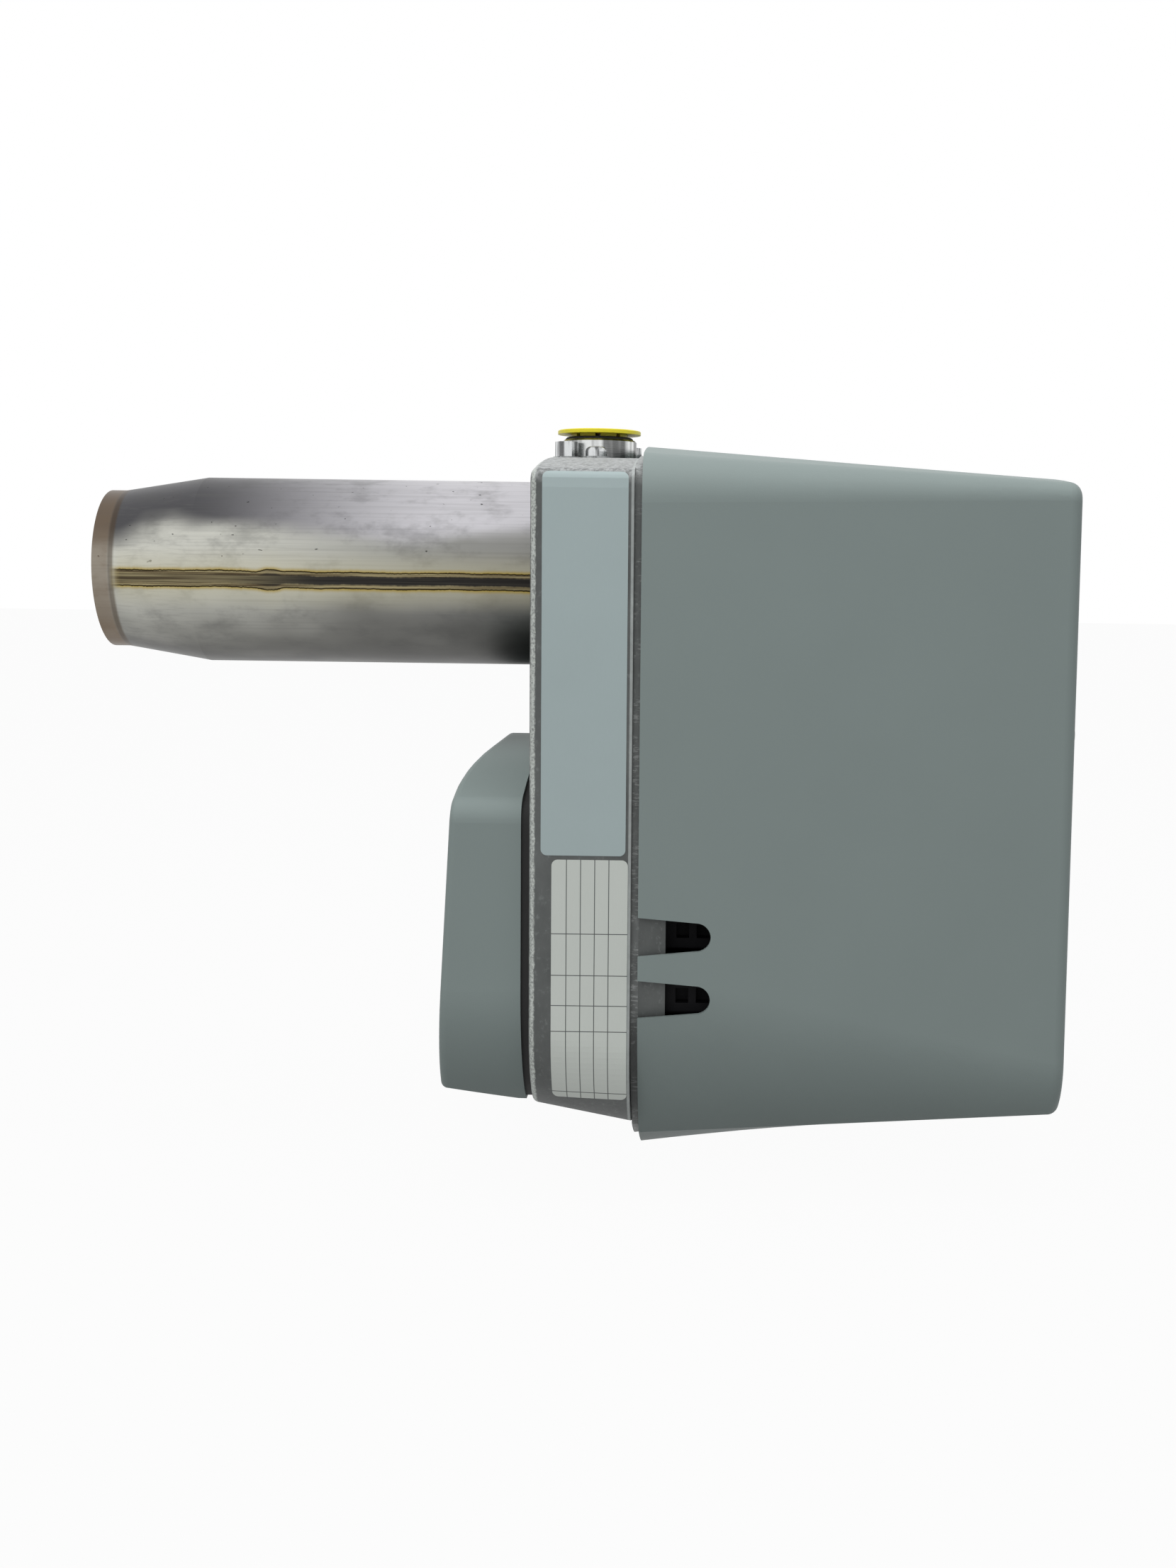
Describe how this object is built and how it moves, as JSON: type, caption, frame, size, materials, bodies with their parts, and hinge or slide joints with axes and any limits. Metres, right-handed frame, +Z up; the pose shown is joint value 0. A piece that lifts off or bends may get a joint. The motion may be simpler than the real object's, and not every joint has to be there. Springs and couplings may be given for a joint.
{
  "type": "gas burner",
  "caption": "Compact forced-draught gas burner: stainless blast tube, cast fan housing, front air box, grey hood, and a gas port with a yellow transport cap on top.",
  "frame": {"origin": "the blast tube's axis where it meets the housing's front face", "axes": "-X along the blast tube towards the flame, +Z up to the gas port, +Y to the far side"},
  "size_m": [0.4085, 0.2498, 0.3097],
  "materials": {
    "black_plastic": "black moulded plastic",
    "black_rubber": "black rubber or foam",
    "brass": "turned brass",
    "clear_glass": "clear glass",
    "clear_plastic": "clear moulded cover",
    "copper": "copper windings",
    "dark_steel": "dark steel",
    "diecast": "dark die-cast aluminium, rough",
    "grey_plastic": "blue-grey moulded plastic, fine grain",
    "light_plastic": "light grey moulded plastic",
    "machined_aluminium": "turned aluminium",
    "motor_paint": "black painted die-cast",
    "red_plastic": "red button",
    "stainless": "brushed stainless tube with soft streaks",
    "white_ceramic": "glazed alumina",
    "yellow_plastic": "bright yellow polythene",
    "zinc_steel": "zinc-plated steel"
  },
  "bodies": {
    "root": {"blast_tube": "stainless", "tube_screws": "zinc_steel", "fan_housing": "diecast", "housing_back_plate": "diecast", "plate_screws": "zinc_steel", "air_box": "grey_plastic", "air_box_seal": "black_rubber", "air_box_screws": "zinc_steel", "inlet_ring": "machined_aluminium", "flap_bushes": "light_plastic", "motor_stator": "dark_steel", "motor_windings": "copper", "motor_bearings": "zinc_steel", "motor_housing": "motor_paint", "motor_end_cap": "motor_paint", "motor_screws": "zinc_steel", "gas_manifold": "machined_aluminium", "port_seal_ring": "black_rubber", "port_screws": "zinc_steel", "test_point_screw": "zinc_steel", "rod_bush": "brass", "rod_clamp_screw": "brass", "control_base": "black_plastic", "control_box": "grey_plastic", "button_guide": "black_plastic", "ignition_transformer": "black_plastic", "lead_grommets": "black_rubber", "ignition_leads": "black_rubber", "pressure_switch": "machined_aluminium", "switch_cover": "clear_plastic", "run_capacitor": "light_plastic", "capacitor_clip": "zinc_steel", "cable_sockets": "black_plastic", "sight_glass": "clear_glass", "sight_glass_ring": "brass", "hood": "grey_plastic", "hood_studs": "zinc_steel", "hood_screws": "zinc_steel"},
    "air_damper": {"air_flap": "machined_aluminium", "flap_shaft": "zinc_steel", "flap_knob": "black_plastic"},
    "fan_rotor": {"fan_wheel": "zinc_steel", "fan_nut": "zinc_steel", "motor_shaft": "zinc_steel", "motor_rotor": "dark_steel"},
    "mixing_head": {"gas_pipe": "stainless", "gas_nozzle": "brass", "baffle_disc": "stainless", "electrode_ceramics": "white_ceramic", "electrode_wires": "dark_steel", "electrode_bracket": "stainless", "head_rod": "zinc_steel"},
    "reset_key": {"reset_button": "red_plastic"},
    "setting_dial": {"switch_dial": "light_plastic"},
    "port_cap": {"transport_cap": "yellow_plastic"}
  },
  "joints": [
    {"name": "flap_swing", "type": "hinge", "parent": "root", "child": "air_damper", "pos_m": [-0.0185, 0, -0.118], "axis": [0, 1, 0], "range_deg": [0, 90]},
    {"name": "fan_spin", "type": "hinge", "parent": "root", "child": "fan_rotor", "pos_m": [0, 0, -0.12], "axis": [1, 0, 0], "continuous": true},
    {"name": "head_slide", "type": "slide", "parent": "root", "child": "mixing_head", "axis": [-1, 0, 0], "range_m": [0, 0.012]},
    {"name": "reset_press", "type": "slide", "parent": "root", "child": "reset_key", "axis": [-1, 0, 0], "range_m": [0, 0.003], "stiffness_N_per_m": 400, "springref_m": -0.003},
    {"name": "dial_turn", "type": "hinge", "parent": "root", "child": "setting_dial", "pos_m": [0.0735, 0.08, -0.088], "axis": [1, 0, 0], "range_deg": [0, 270]},
    {"name": "cap_pull", "type": "slide", "parent": "root", "child": "port_cap", "axis": [0, 0, 1], "range_m": [0, 0.02]}
  ]
}
